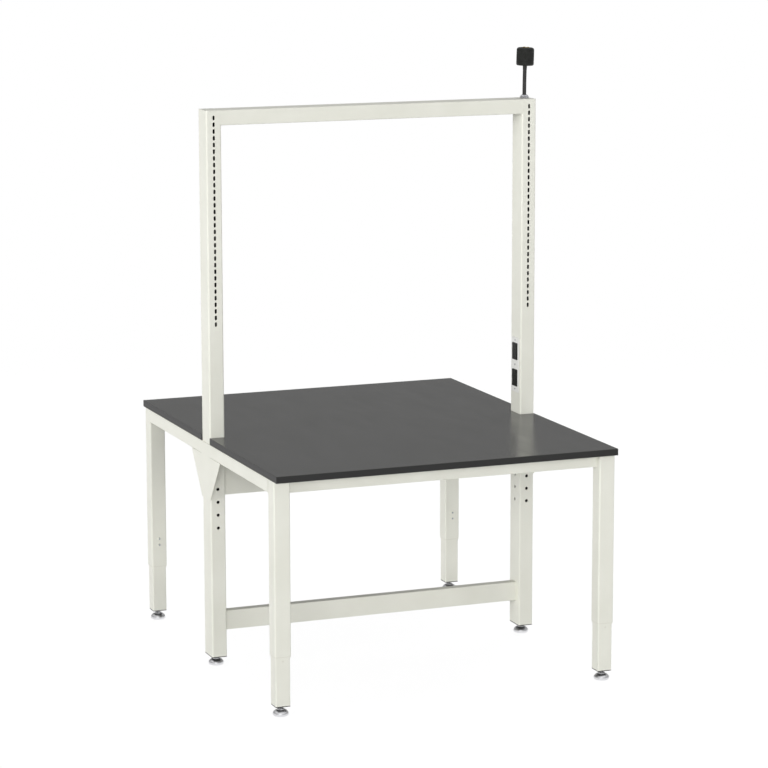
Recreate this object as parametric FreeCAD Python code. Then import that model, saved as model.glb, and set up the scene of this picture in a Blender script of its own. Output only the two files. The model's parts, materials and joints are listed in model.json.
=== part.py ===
import FreeCAD, Part
import os
from math import cos, pi, tan

# Two-sided lab bench.  A worktop on four telescopic corner legs slides up and down a tall frame of
# two slotted uprights that stands on the bench's centre line.  Millimetres, +Z up, +Y to the rear.
# The origin is on the floor, below the middle of the bench.

Vector = FreeCAD.Vector
X, Y, Z = Vector(1, 0, 0), Vector(0, 1, 0), Vector(0, 0, 1)
LEFT, RIGHT = -1, 1
FRONT, REAR = -1, 1

# Whole bench
bench_width = 1365.0
bench_depth = 1626.0
worktop_height = 909.0
frame_height = 2164.0

# Worktop
worktop_thickness = 25.4
worktop_edge_radius = 1.5
notch_gap = 1.5

# Uprights: rectangular tubes with a column of slots at the front and at the rear
upright_width = 60.0
upright_depth = 95.0
upright_wall = 3.0
upright_corner = 6.0
slot_pitch = 25.4
slot_height = 18.0
slot_width = 9.0
slot_count = 32
first_slot_drop = 28.0
hole_diameter = 12.7
hole_pitch = 50.8
hole_count = 4
lowest_hole_height = 553.7

# Rails between the uprights
top_rail_height = 57.0
stretcher_height = 76.2
stretcher_depth = 38.1
stretcher_floor_gap = 139.0
rail_wall = 2.5
rail_corner = 3.0

# Telescopic corner legs
sleeve_size = 63.5
sleeve_wall = 2.0
sleeve_corner = 6.0
sleeve_side_reach = 1.0
sleeve_end_inset = 28.0
sleeve_floor_gap = 229.0
inner_leg_size = 57.0
inner_leg_wall = 2.5
inner_leg_corner = 4.0
inner_leg_overlap = 300.0
index_hole_diameter = 8.0
index_hole_pitch = 25.4
index_hole_count = 7
index_hole_drop = 18.0
collar_flange = 3.0
collar_depth = 45.0
sliding_gap = 0.15
seating_gap = 0.05

# Table rails and the brackets that run on the uprights
side_rail_height = 50.8
side_rail_width = 38.1
end_rail_height = 50.0
end_rail_depth = 38.1
centre_beam_height = 207.6
centre_beam_depth = 38.1
saddle_plate = 5.0
saddle_height = 80.0
saddle_gap = 0.5
gusset_plate = 2.5
gusset_gap = 0.3
gusset_edge_bevel = 0.8
gusset_top_length = 345.0
gusset_foot_length = 97.0
gusset_foot_height = 664.0

# Levelling feet and the plugs that they screw into
tube_floor_gap = 38.0
plug_flange = 3.0
plug_depth = 25.0
foot_base_radius = 29.5
foot_sole_radius = 26.0
foot_rim_bottom = 3.0
foot_rim_height = 12.0
foot_dome_height = 21.0
foot_neck_radius = 14.5
foot_dome_bulge = 1.8
foot_hex = 25.0
foot_hex_height = 6.0
foot_stem_radius = 6.0
foot_stem_length = 75.0
thread_gap = 0.1

# Lock screws in their welded bosses, and worktop screws
hex_crown = 0.4
lock_radius = 4.0
lock_boss_radius = 6.5
lock_boss_height = 5.0
lock_boss_bevel = 0.6
lock_recess = 0.5
lock_socket = 4.0
lock_socket_depth = 4.0
lock_height_above_sleeve_end = 102.0
tip_gap = 0.1
tip_chamfer = 1.0
worktop_screw_radius = 4.0
worktop_screw_head = 13.0
worktop_screw_head_height = 5.3
worktop_screw_bite = 16.0
worktop_screw_hole_gap = 0.4
worktop_screw_access_radius = 9.0
side_screw_end_distance = 60.0
end_screw_spacing = 430.0

# Twin sockets in the right upright, with one cover
cover_rise_above_worktop = 84.5
socket_pitch = 107.0
socket_face_width = 45.0
socket_face_height = 67.0
socket_face_proud = 3.0
socket_face_corner = 2.0
socket_body_depth = 30.0
socket_body_inset = 3.0
outlet_pitch = 36.0
blade_slot_pitch = 12.7
blade_slot_width = 1.8
live_slot_height = 7.0
neutral_slot_height = 8.5
blade_slot_rise = 2.5
earth_hole_radius = 2.4
earth_hole_drop = 7.5
outlet_depth = 8.0
window_gap = 0.5
cover_width = 73.0
cover_height = 221.0
cover_thickness = 3.0
cover_bevel = 1.2
cover_screw_radius = 2.0
cover_screw_head_radius = 3.6
cover_screw_head_height = 1.6
cover_screw_slot_width = 1.0
cover_screw_slot_depth = 0.8
box_wall = 1.5
box_depth = 44.0
box_width = 62.0
box_height = 92.0
feed_end_length = 8.0

# Supply cord that stands on the right upright, its grip and its plug
cord_radius = 7.5
cord_route = [Vector(0, 0, 0), Vector(0, 0, 57), Vector(1.8, 0, 114)]
bend_share = 0.45
cord_bore_gap = 0.3
grip_shank_radius = 12.5
grip_shank_length = 16.0
grip_hex = 34.0
grip_hex_height = 8.0
grip_dome_radius = 15.0
grip_mouth_radius = 11.5
grip_dome_height = 6.0
grip_nut = 30.0
grip_nut_height = 5.0
cap_plate = 2.0
cap_spigot_length = 12.0
cap_spigot_wall = 1.5
plug_radius = 34.5
plug_height = 71.0
plug_corner = 10.0
well_radius = 19.0
well_depth = 4.0
blade_count = 4
blade_height = 6.0
blade_width = 9.0
blade_thickness = 2.0
blade_circle_radius = 12.0

# Places that follow from the sizes above
half_width = bench_width / 2
half_depth = bench_depth / 2
worktop_underside = worktop_height - worktop_thickness
sleeve_outer = half_width + sleeve_side_reach
gusset_inside = sleeve_outer - gusset_plate
upright_outer = gusset_inside - gusset_gap
upright_inner = upright_outer - upright_width
upright_centre = upright_outer - upright_width / 2
upright_half_depth = upright_depth / 2
upright_top = frame_height - cap_plate
sleeve_inner = sleeve_outer - sleeve_size
sleeve_end = half_depth - sleeve_end_inset
sleeve_back = sleeve_end - sleeve_size
leg_x = sleeve_outer - sleeve_size / 2
leg_y = sleeve_end - sleeve_size / 2
saddle_outside = upright_half_depth + saddle_gap + saddle_plate
saddle_back = upright_inner - saddle_gap - saddle_plate
side_rail_underside = worktop_underside - side_rail_height
sleeve_lock_middle = sleeve_floor_gap + lock_height_above_sleeve_end
sleeve_lock_heights = (sleeve_lock_middle - index_hole_pitch / 2, sleeve_lock_middle + index_hole_pitch / 2)
saddle_lock_height = (side_rail_underside + worktop_underside - saddle_height) / 2
tube_end = tube_floor_gap + plug_flange
socket_centre_height = worktop_height + cover_rise_above_worktop + cover_height / 2
socket_heights = (socket_centre_height + socket_pitch / 2, socket_centre_height - socket_pitch / 2)
cover_front = upright_inner - cover_thickness
grip_mouth = Vector(upright_centre, 0, frame_height + grip_hex_height + grip_dome_height)
cord_end = grip_mouth + cord_route[-1]
cord_end_direction = (cord_route[-1] - cord_route[-2]).normalize()
sides = {"left": LEFT, "right": RIGHT}
corners = {"front_left": (LEFT, FRONT), "front_right": (RIGHT, FRONT),
           "rear_left": (LEFT, REAR), "rear_right": (RIGHT, REAR)}


# Shapes that many pieces share

def save(name, *solids):
    """Write one node; several solids make a group."""
    shape = solids[0] if len(solids) == 1 else Part.makeCompound(list(solids))
    shape.exportStep("parts/" + name + ".step")


def block(p, q):
    """Box between two opposite corners, given in any order."""
    low = [min(a, b) for a, b in zip(p, q)]
    return Part.makeBox(*[abs(a - b) for a, b in zip(p, q)], Vector(*low))


def bar(p, q, along, radius):
    """Box between two corners, with its four edges along one axis rounded."""
    solid = block(p, q)
    edges = [e for e in solid.Edges if abs(e.tangentAt(e.FirstParameter).dot(along)) > 0.99]
    return solid.makeFillet(radius, edges)


def tube(p, q, along, radius, wall):
    """Rectangular tube between two corners, open at both ends."""
    low = Vector(*[min(a, b) for a, b in zip(p, q)])
    high = Vector(*[max(a, b) for a, b in zip(p, q)])
    inset = Vector(wall, wall, wall) - along * (wall + 1)
    bore = bar(low + inset, high - inset, along, bore_corner(radius, wall))
    return bar(low, high, along, radius).cut(bore)


def bore_corner(radius, wall):
    """Corner radius inside a tube with that radius outside."""
    return radius - min(wall, radius / 2)


def cylinder(radius, length, base, direction=Z):
    """Cylinder from a point on its axis."""
    return Part.makeCylinder(radius, length, base, direction)


def hexagon(across_flats, height):
    """Hexagonal prism that stands on the XY plane."""
    corner = across_flats / 2 / cos(pi / 6)
    first = Vector(corner, 0, 0)
    points = [FreeCAD.Rotation(Z, 60 * i).multVec(first) for i in range(6)]
    return Part.Face(Part.makePolygon(points + points[:1])).extrude(Z * height)


def hex_head(across_flats, height):
    """Hexagonal prism with the corners of its upper face turned down."""
    crown_radius = across_flats / 2 - hex_crown
    cone = Part.makeCone(crown_radius + height * tan(pi / 3), crown_radius, height)
    return hexagon(across_flats, height).common(cone)


def placed(solid, base, direction):
    """The solid with its own +Z turned to a direction and its origin moved to a point."""
    solid = solid.copy()
    solid.Placement = FreeCAD.Placement(base, FreeCAD.Rotation(Z, direction))
    return solid


# The frame of uprights

def upright_slot(side, height):
    """Cutter for one slot, through both the front and the rear wall."""
    start = Vector(side * upright_centre, -upright_half_depth - 1, height)
    reach = upright_depth + 2
    half_run = (slot_height - slot_width) / 2
    middle = block(start - Vector(slot_width / 2, 0, half_run),
                   start + Vector(slot_width / 2, reach, half_run))
    ends = [cylinder(slot_width / 2, reach, start + Z * z, Y) for z in (-half_run, half_run)]
    return middle.fuse(ends).removeSplitter()


def upright(side):
    """One upright with its slots and round holes and, on the right, the openings for the sockets."""
    body = tube((side * upright_inner, -upright_half_depth, tube_end),
                (side * upright_outer, upright_half_depth, upright_top), Z, upright_corner, upright_wall)
    cutters = [upright_slot(side, frame_height - first_slot_drop - i * slot_pitch) for i in range(slot_count)]
    for i in range(hole_count):
        height = lowest_hole_height + i * hole_pitch
        front = Vector(side * upright_centre, -upright_half_depth - 1, height)
        inside = Vector(side * (upright_inner - 1), 0, height)
        cutters.append(cylinder(hole_diameter / 2, upright_depth + 2, front, Y))
        cutters.append(cylinder(hole_diameter / 2, upright_wall + 2, inside, X * side))
    if side == RIGHT:
        cutters += [socket_opening(height) for height in socket_heights]
        cutters += [cylinder(cover_screw_radius, upright_wall + 2, Vector(upright_inner - 1, 0, height), X)
                    for height in cover_screw_heights()]
    return body.cut(cutters)


def upright_cap(side):
    """Flat cap on an upright's upper end, with a spigot inside the tube."""
    plate = bar((side * upright_inner, -upright_half_depth, upright_top),
                (side * upright_outer, upright_half_depth, frame_height), Z, upright_corner)
    rim = upright_wall + seating_gap
    spigot = tube((side * (upright_inner + rim), -upright_half_depth + rim, upright_top - cap_spigot_length),
                  (side * (upright_outer - rim), upright_half_depth - rim, upright_top),
                  Z, bore_corner(upright_corner, upright_wall), cap_spigot_wall)
    cap = plate.fuse(spigot).removeSplitter()
    if side == RIGHT:
        cap = cap.cut(cylinder(grip_shank_radius + thread_gap, cap_plate + 2,
                               Vector(upright_centre, 0, upright_top - 1)))
    return cap


def top_rail():
    """Rail that joins the uprights' upper ends, flush with them at the front, rear and top."""
    return tube((-upright_inner, -upright_half_depth, frame_height - top_rail_height),
                (upright_inner, upright_half_depth, frame_height), X, rail_corner, rail_wall)


def stretcher():
    """Rail between the uprights near the floor, on their centre line."""
    return tube((-upright_inner, -stretcher_depth / 2, stretcher_floor_gap),
                (upright_inner, stretcher_depth / 2, stretcher_floor_gap + stretcher_height),
                X, rail_corner, rail_wall)


def end_plug(x, y, width, depth, corner, wall):
    """Plug in a tube's lower end, with a flange below the tube and a thread for the foot."""
    flange = bar((x - width / 2, y - depth / 2, tube_floor_gap),
                 (x + width / 2, y + depth / 2, tube_end), Z, corner)
    rim = wall + seating_gap
    insert = bar((x - width / 2 + rim, y - depth / 2 + rim, tube_end),
                 (x + width / 2 - rim, y + depth / 2 - rim, tube_floor_gap + plug_depth),
                 Z, bore_corner(corner, wall))
    thread = cylinder(foot_stem_radius + thread_gap, plug_depth + 2, Vector(x, y, tube_floor_gap - 1))
    return flange.fuse(insert).removeSplitter().cut(thread)


def levelling_foot(x, y):
    """Glide: a domed base on a narrower sole, a hexagon for the spanner and a threaded stem."""
    outline = [Vector(0, 0, 0), Vector(foot_sole_radius, 0, 0), Vector(foot_base_radius, 0, foot_rim_bottom),
               Vector(foot_base_radius, 0, foot_rim_height)]
    rim, neck = outline[-1], Vector(foot_neck_radius, 0, foot_dome_height)
    slope = neck - rim
    outward = Vector(slope.z, 0, -slope.x).normalize()
    dome = Part.Arc(rim, (rim + neck) / 2 + outward * foot_dome_bulge, neck).toShape()
    top = Vector(0, 0, foot_dome_height)
    edges = [Part.makeLine(a, b) for a, b in zip(outline, outline[1:])]
    edges += [dome, Part.makeLine(neck, top), Part.makeLine(top, outline[0])]
    base = Part.Face(Part.Wire(edges)).revolve(Vector(0, 0, 0), Z, 360)
    grip = hex_head(foot_hex, foot_hex_height)
    grip.translate(top)
    stem = cylinder(foot_stem_radius, foot_stem_length, top + Z * foot_hex_height)
    tip = foot_dome_height + foot_hex_height + foot_stem_length
    stem = stem.makeChamfer(tip_chamfer, [e for e in stem.Edges if e.BoundBox.ZMin > tip - 0.1])
    foot = base.fuse([grip, stem]).removeSplitter()
    foot.translate(Vector(x, y, 0))
    return foot


# Sockets

def socket_opening(height):
    """Cutter in the upright's wall for a socket's body."""
    half_w = socket_face_width / 2 - socket_body_inset + window_gap
    half_h = socket_face_height / 2 - socket_body_inset + window_gap
    return block((upright_inner - 1, -half_w, height - half_h),
                 (upright_inner + upright_wall + 1, half_w, height + half_h))


def socket(height):
    """Twin socket: a body in its box and a face that stands a little proud of the cover."""
    face_front = cover_front - socket_face_proud
    half_w, half_h = socket_face_width / 2, socket_face_height / 2
    face = bar((face_front, -half_w, height - half_h), (upright_inner, half_w, height + half_h),
               X, socket_face_corner)
    body = block((upright_inner, -half_w + socket_body_inset, height - half_h + socket_body_inset),
                 (upright_inner + socket_body_depth, half_w - socket_body_inset,
                  height + half_h - socket_body_inset))
    shape = face.fuse(body).removeSplitter()
    cutters = []
    for centre in (height - outlet_pitch / 2, height + outlet_pitch / 2):
        for hand, tall in ((-1, live_slot_height), (1, neutral_slot_height)):
            middle = Vector(face_front, hand * blade_slot_pitch / 2, centre + blade_slot_rise)
            half_slot = Vector(0, blade_slot_width / 2, tall / 2)
            cutters.append(block(middle - half_slot - X, middle + half_slot + X * outlet_depth))
        cutters.append(cylinder(earth_hole_radius, outlet_depth + 1,
                                Vector(face_front - 1, 0, centre - earth_hole_drop), X))
    return shape.cut(cutters)


def socket_box(height):
    """Steel box inside the upright, open towards the socket, with holes for the feed cable."""
    x = upright_inner + upright_wall
    half_w, half_h = box_width / 2, box_height / 2
    shell = block((x, -half_w, height - half_h), (x + box_depth, half_w, height + half_h))
    hollow = block((x - 1, -half_w + box_wall, height - half_h + box_wall),
                   (x + box_depth - box_wall, half_w - box_wall, height + half_h - box_wall))
    return shell.cut([hollow, cord_bore(height - half_h - 1, box_height + 2)])


def cover_plate():
    """Cover over both sockets, with a window for each and a bevelled front edge."""
    half_w, half_h = cover_width / 2, cover_height / 2
    plate = block((cover_front, -half_w, socket_centre_height - half_h),
                  (upright_inner, half_w, socket_centre_height + half_h))
    plate = plate.makeChamfer(cover_bevel, [e for e in plate.Edges if e.BoundBox.XMax < cover_front + 0.1])
    w = socket_face_width / 2 + window_gap
    h = socket_face_height / 2 + window_gap
    windows = [bar((cover_front - 1, -w, height - h), (upright_inner + 1, w, height + h),
                   X, socket_face_corner) for height in socket_heights]
    holes = [cylinder(cover_screw_radius + thread_gap, cover_thickness + 2,
                      Vector(cover_front - 1, 0, height), X) for height in cover_screw_heights()]
    return plate.cut(windows + holes)


def cover_screw_heights():
    """One screw above the sockets, one between them and one below."""
    window_end = socket_pitch / 2 + socket_face_height / 2
    reach = (cover_height / 2 + window_end) / 2
    return [socket_centre_height + drop for drop in (-reach, 0, reach)]


def cover_screw(height):
    """Slotted raised-head screw, tapped into the upright's wall."""
    seat = Vector(cover_front, 0, height)
    shank = cylinder(cover_screw_radius - seating_gap, cover_thickness + upright_wall, seat, X)
    head = Part.makeCone(cover_screw_head_radius, cover_screw_head_radius - cover_screw_head_height / 2,
                         cover_screw_head_height, seat, -X)
    tip = seat - X * cover_screw_head_height
    half_slot = Vector(0, cover_screw_head_radius, cover_screw_slot_width / 2)
    slot = block(tip - half_slot - X, tip + half_slot + X * cover_screw_slot_depth)
    return shank.fuse(head).removeSplitter().cut(slot)


# Supply cord

def cord_bore(bottom, length):
    """Cutter for the cord's way through its grip and the socket boxes."""
    return cylinder(cord_radius + cord_bore_gap, length, Vector(upright_centre, 0, bottom))


def cord_grip():
    """Metal cord grip: a shank through the cap, a hexagon on it and a domed nut."""
    foot = upright_top - grip_shank_length
    shank = cylinder(grip_shank_radius, frame_height - foot, Vector(upright_centre, 0, foot))
    body = placed(hex_head(grip_hex, grip_hex_height), Vector(upright_centre, 0, frame_height), Z)
    dome = Part.makeCone(grip_dome_radius, grip_mouth_radius, grip_dome_height,
                         grip_mouth - Z * grip_dome_height)
    solid = body.fuse([shank, dome]).removeSplitter()
    return solid.cut(cord_bore(foot - 1, grip_mouth.z - foot + 2))


def cord_grip_nut():
    """Lock nut on the grip's shank, below the cap."""
    base = Vector(upright_centre, 0, upright_top - grip_nut_height)
    nut = placed(hexagon(grip_nut, grip_nut_height), base, Z)
    return nut.cut(cylinder(grip_shank_radius + thread_gap, grip_nut_height + 2, base - Z))


def feed_cable():
    """Cable inside the upright: from the grip's mouth to the upper box, and on to the lower one."""
    ends = [grip_mouth.z] + [height - box_height / 2 + feed_end_length for height in socket_heights]
    starts = [height + box_height / 2 - feed_end_length for height in socket_heights]
    return [cylinder(cord_radius, top - bottom, Vector(upright_centre, 0, bottom))
            for top, bottom in zip(ends, starts)]


def rounded_route(points):
    """Straight runs between the points, joined by tangent arcs as large as the runs allow."""
    edges, start = [], points[0]
    for before, here, after in zip(points, points[1:], points[2:]):
        setback = bend_share * min((here - before).Length, (after - here).Length)
        into = (here - before).normalize()
        out = (after - here).normalize()
        half_turn = into.getAngle(out) / 2
        radius = setback / tan(half_turn)
        print("cord bend radius", round(radius))
        bisector = (out - into).normalize()
        middle = here + bisector * (radius / cos(half_turn) - radius)
        edges.append(Part.makeLine(start, here - into * setback))
        edges.append(Part.Arc(here - into * setback, middle, here + out * setback).toShape())
        start = here + out * setback
    edges.append(Part.makeLine(start, points[-1]))
    return Part.Wire(edges)


def supply_cord():
    """Stiff cord that stands on the grip and carries the plug."""
    route = rounded_route([grip_mouth + point for point in cord_route])
    section = Part.Wire(Part.makeCircle(cord_radius, grip_mouth, Z))
    cord = route.makePipeShell([section], True, True)
    print("cord volume over section times length", cord.Volume / (pi * cord_radius ** 2 * route.Length))
    return cord


def plug_body():
    """Round plug with soft corners and a shallow well for its blades."""
    body = cylinder(plug_radius, plug_height, Vector(0, 0, 0))
    body = body.makeFillet(plug_corner, [e for e in body.Edges if e.BoundBox.ZLength < 0.1])
    well = cylinder(well_radius, well_depth + 1, Z * (plug_height - well_depth))
    return placed(body.cut(well), cord_end, cord_end_direction)


def plug_blades():
    """Flat blades on a circle, standing in the plug's well."""
    floor = plug_height - well_depth
    blades = []
    for i in range(blade_count):
        blade = block((blade_circle_radius - blade_thickness / 2, -blade_width / 2, floor),
                      (blade_circle_radius + blade_thickness / 2, blade_width / 2, floor + blade_height))
        blade.rotate(Vector(0, 0, 0), Z, 360 * i / blade_count)
        blades.append(blade)
    group = placed(Part.makeCompound(blades), cord_end, cord_end_direction)
    return group.Solids


# The table

def worktop():
    """Solid slab with a notch at each side for the uprights and blind holes for its screws."""
    slab = block((-half_width, -half_depth, worktop_underside), (half_width, half_depth, worktop_height))
    slab = slab.makeFillet(worktop_edge_radius,
                           [e for e in slab.Edges if e.BoundBox.ZMin > worktop_height - worktop_edge_radius])
    notch_y = upright_half_depth + notch_gap
    notches = [block((side * (upright_inner - notch_gap), -notch_y, worktop_underside - 1),
                     (side * (half_width + 1), notch_y, worktop_height + 1)) for side in (LEFT, RIGHT)]
    holes = [cylinder(worktop_screw_radius + thread_gap, worktop_screw_bite + 1,
                      Vector(x, y, worktop_underside)) for x, y in side_screw_places() + end_screw_places()]
    return slab.cut(notches + holes)


def side_screw_places():
    """Worktop screws in the side rails: two in each rail, near its ends."""
    x = sleeve_outer - side_rail_width / 2
    near, far = saddle_outside + side_screw_end_distance, sleeve_back - side_screw_end_distance
    return [(side * x, end * y) for side in (LEFT, RIGHT) for end in (FRONT, REAR) for y in (near, far)]


def end_screw_places():
    """Worktop screws in the front and rear rails: three in each rail."""
    y = sleeve_back + end_rail_depth / 2
    return [(i * end_screw_spacing, end * y) for end in (FRONT, REAR) for i in (-1, 0, 1)]


def worktop_screw(x, y):
    """Hexagon screw inside a rail, through its upper wall into the worktop."""
    seat = Vector(x, y, worktop_underside - sleeve_wall)
    shank = cylinder(worktop_screw_radius, sleeve_wall + worktop_screw_bite, seat)
    head = placed(hex_head(worktop_screw_head, worktop_screw_head_height), seat, -Z)
    return shank.fuse(head).removeSplitter()


def screw_clearances(places, rail_height):
    """Cutters in a rail for the worktop screws: a close hole above and a wide one for the spanner below."""
    above = [cylinder(worktop_screw_radius + worktop_screw_hole_gap, sleeve_wall + 2,
                      Vector(x, y, worktop_underside - sleeve_wall - 1)) for x, y in places]
    below = [cylinder(worktop_screw_access_radius, sleeve_wall + 2,
                      Vector(x, y, worktop_underside - rail_height - 1)) for x, y in places]
    return above + below


def side_rail(side, end):
    """Rail along the bench's side, from a corner leg to the upright's saddle."""
    rail = tube((side * sleeve_outer, end * saddle_outside, side_rail_underside),
                (side * (sleeve_outer - side_rail_width), end * sleeve_back, worktop_underside),
                Y, rail_corner, sleeve_wall)
    return rail.cut(screw_clearances(side_screw_places(), side_rail_height))


def end_rail(end):
    """Rail along the front or rear, level with the inner faces of the corner legs."""
    rail = tube((-sleeve_inner, end * sleeve_back, worktop_underside - end_rail_height),
                (sleeve_inner, end * (sleeve_back + end_rail_depth), worktop_underside),
                X, rail_corner, sleeve_wall)
    return rail.cut(screw_clearances(end_screw_places(), end_rail_height))


def leg_sleeve(side, end):
    """Outer tube of a corner leg, with the lock screws' holes in its inward face."""
    sleeve = tube((side * sleeve_inner, end * sleeve_back, sleeve_floor_gap),
                  (side * sleeve_outer, end * sleeve_end, worktop_underside), Z, sleeve_corner, sleeve_wall)
    starts = [Vector(side * leg_x, end * (sleeve_back - 1), height) for height in sleeve_lock_heights]
    return sleeve.cut([cylinder(lock_radius, sleeve_wall + 2, start, Y * end) for start in starts])


def leg_collar(side, end):
    """Plastic collar in a sleeve's lower end that the inner leg slides in."""
    x, y = side * leg_x, end * leg_y
    low, high = sleeve_floor_gap - collar_flange, sleeve_floor_gap + collar_depth
    half = sleeve_size / 2
    flange = bar((x - half, y - half, low), (x + half, y + half, sleeve_floor_gap), Z, sleeve_corner)
    half = sleeve_size / 2 - sleeve_wall - seating_gap
    spigot = bar((x - half, y - half, sleeve_floor_gap), (x + half, y + half, high),
                 Z, bore_corner(sleeve_corner, sleeve_wall))
    half = inner_leg_size / 2 + sliding_gap
    bore = bar((x - half, y - half, low - 1), (x + half, y + half, high + 1),
               Z, inner_leg_corner + sliding_gap)
    return flange.fuse(spigot).removeSplitter().cut(bore)


def inner_leg(side, end):
    """Inner tube of a corner leg, with a column of index holes in its outward face."""
    x, y, half = side * leg_x, end * leg_y, inner_leg_size / 2
    leg = tube((x - half, y - half, tube_end), (x + half, y + half, sleeve_floor_gap + inner_leg_overlap),
               Z, inner_leg_corner, inner_leg_wall)
    lowest = Vector(x, y + end * (half + 1), sleeve_floor_gap - index_hole_drop)
    places = [lowest + Z * i * index_hole_pitch for i in range(index_hole_count)]
    return leg.cut([cylinder(index_hole_diameter / 2, inner_leg_wall + 2, place, Y * -end)
                    for place in places])


def centre_beam():
    """Deep box beam under the worktop, from one saddle to the other."""
    return tube((-saddle_back, -centre_beam_depth / 2, worktop_underside - centre_beam_height),
                (saddle_back, centre_beam_depth / 2, worktop_underside), X, rail_corner, sleeve_wall)


def saddle(side):
    """U-shaped bracket that embraces the upright from the inside and slides on it."""
    low = worktop_underside - saddle_height
    outer = block((side * saddle_back, -saddle_outside, low),
                  (side * gusset_inside, saddle_outside, worktop_underside))
    inside = upright_half_depth + saddle_gap
    channel = block((side * (saddle_back + saddle_plate), -inside, low - 1),
                    (side * (gusset_inside + 1), inside, worktop_underside + 1))
    holes = [cylinder(lock_radius, saddle_plate + 2,
                      Vector(side * upright_centre, end * (saddle_outside + 1), saddle_lock_height), Y * -end)
             for end in (FRONT, REAR)]
    return outer.cut([channel] + holes)


def gusset(side):
    """Plate level with the side rails' outer faces: it closes the saddle and tapers below the rails."""
    half_top, half_foot = gusset_top_length / 2, gusset_foot_length / 2
    rear_edge = [(half_foot, gusset_foot_height), (half_top, side_rail_underside),
                 (saddle_outside, side_rail_underside), (saddle_outside, worktop_underside)]
    front_edge = [(-y, z) for y, z in reversed(rear_edge)]
    points = [Vector(side * gusset_inside, y, z) for y, z in rear_edge + front_edge]
    plate = Part.Face(Part.makePolygon(points + points[:1])).extrude(X * side * gusset_plate)
    edges = [e for e in plate.Edges if min(abs(v.X) for v in e.Vertexes) > sleeve_outer - 0.1
             and min(v.Z for v in e.Vertexes) < gusset_foot_height + 0.1]
    return plate.makeChamfer(gusset_edge_bevel, edges)


def lock_parts(touch, outward, wall_outside):
    """Socket set screw and its welded boss; the tip stands just clear of the tube that it clamps."""
    boss = cylinder(lock_boss_radius, lock_boss_height, Vector(0, 0, 0))
    rim = [e for e in boss.Edges if e.BoundBox.ZMin > lock_boss_height - 0.1]
    boss = boss.makeChamfer(lock_boss_bevel, rim)
    boss = boss.cut(cylinder(lock_radius, lock_boss_height + 2, -Z))
    boss = placed(boss, touch + outward * wall_outside, outward)
    length = wall_outside + lock_boss_height - lock_recess - tip_gap
    screw = cylinder(lock_radius - thread_gap, length, Vector(0, 0, 0))
    screw = screw.makeChamfer(tip_chamfer, [e for e in screw.Edges if e.BoundBox.ZMax < 0.1])
    well = hexagon(lock_socket, lock_socket_depth + 1)
    well.translate(Z * (length - lock_socket_depth))
    screw = placed(screw.cut(well), touch + outward * tip_gap, outward)
    return screw, boss


def all_lock_parts():
    """Two lock screws on each corner leg, one step of its holes apart, and one on each side of a saddle."""
    pairs = []
    sleeve_wall_outside = (sleeve_size - inner_leg_size) / 2
    for side, end in corners.values():
        for height in sleeve_lock_heights:
            touch = Vector(side * leg_x, end * (leg_y - inner_leg_size / 2), height)
            pairs.append(lock_parts(touch, Y * -end, sleeve_wall_outside))
        touch = Vector(side * upright_centre, end * upright_half_depth, saddle_lock_height)
        pairs.append(lock_parts(touch, Y * end, saddle_gap + saddle_plate))
    return [screw for screw, boss in pairs], [boss for screw, boss in pairs]


# Build every node

os.makedirs("parts", exist_ok=True)

for name, side in sides.items():
    save("upright_" + name, upright(side))
    save("upright_cap_" + name, upright_cap(side))
    save("upright_plug_" + name, end_plug(side * upright_centre, 0, upright_width, upright_depth,
                                          upright_corner, upright_wall))
    save("foot_upright_" + name, levelling_foot(side * upright_centre, 0))
    save("saddle_" + name, saddle(side))
    save("gusset_" + name, gusset(side))

save("top_rail", top_rail())
save("stretcher", stretcher())
save("socket_upper", socket(socket_heights[0]))
save("socket_lower", socket(socket_heights[1]))
save("socket_boxes", *[socket_box(height) for height in socket_heights])
save("socket_cover", cover_plate())
save("socket_cover_screws", *[cover_screw(height) for height in cover_screw_heights()])
save("feed_cable", *feed_cable())
save("cord_grip", cord_grip())
save("cord_grip_nut", cord_grip_nut())
save("supply_cord", supply_cord())
save("plug_body", plug_body())
save("plug_blades", *plug_blades())

save("worktop", worktop())
save("worktop_screws", *[worktop_screw(x, y) for x, y in side_screw_places() + end_screw_places()])
save("centre_beam", centre_beam())
save("front_rail", end_rail(FRONT))
save("rear_rail", end_rail(REAR))
for name, (side, end) in corners.items():
    save("side_rail_" + name, side_rail(side, end))
    save("leg_sleeve_" + name, leg_sleeve(side, end))
    save("leg_collar_" + name, leg_collar(side, end))
    save("inner_leg_" + name, inner_leg(side, end))
    save("inner_leg_plug_" + name, end_plug(side * leg_x, end * leg_y, inner_leg_size, inner_leg_size,
                                            inner_leg_corner, inner_leg_wall))
    save("foot_" + name, levelling_foot(side * leg_x, end * leg_y))

lock_screws, lock_bosses = all_lock_parts()
save("lock_screws", *lock_screws)
save("lock_bosses", *lock_bosses)
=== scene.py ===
import json
from math import cos, pi, radians, sin, tan

import bmesh
import bpy
from mathutils import Matrix, Vector


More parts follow.
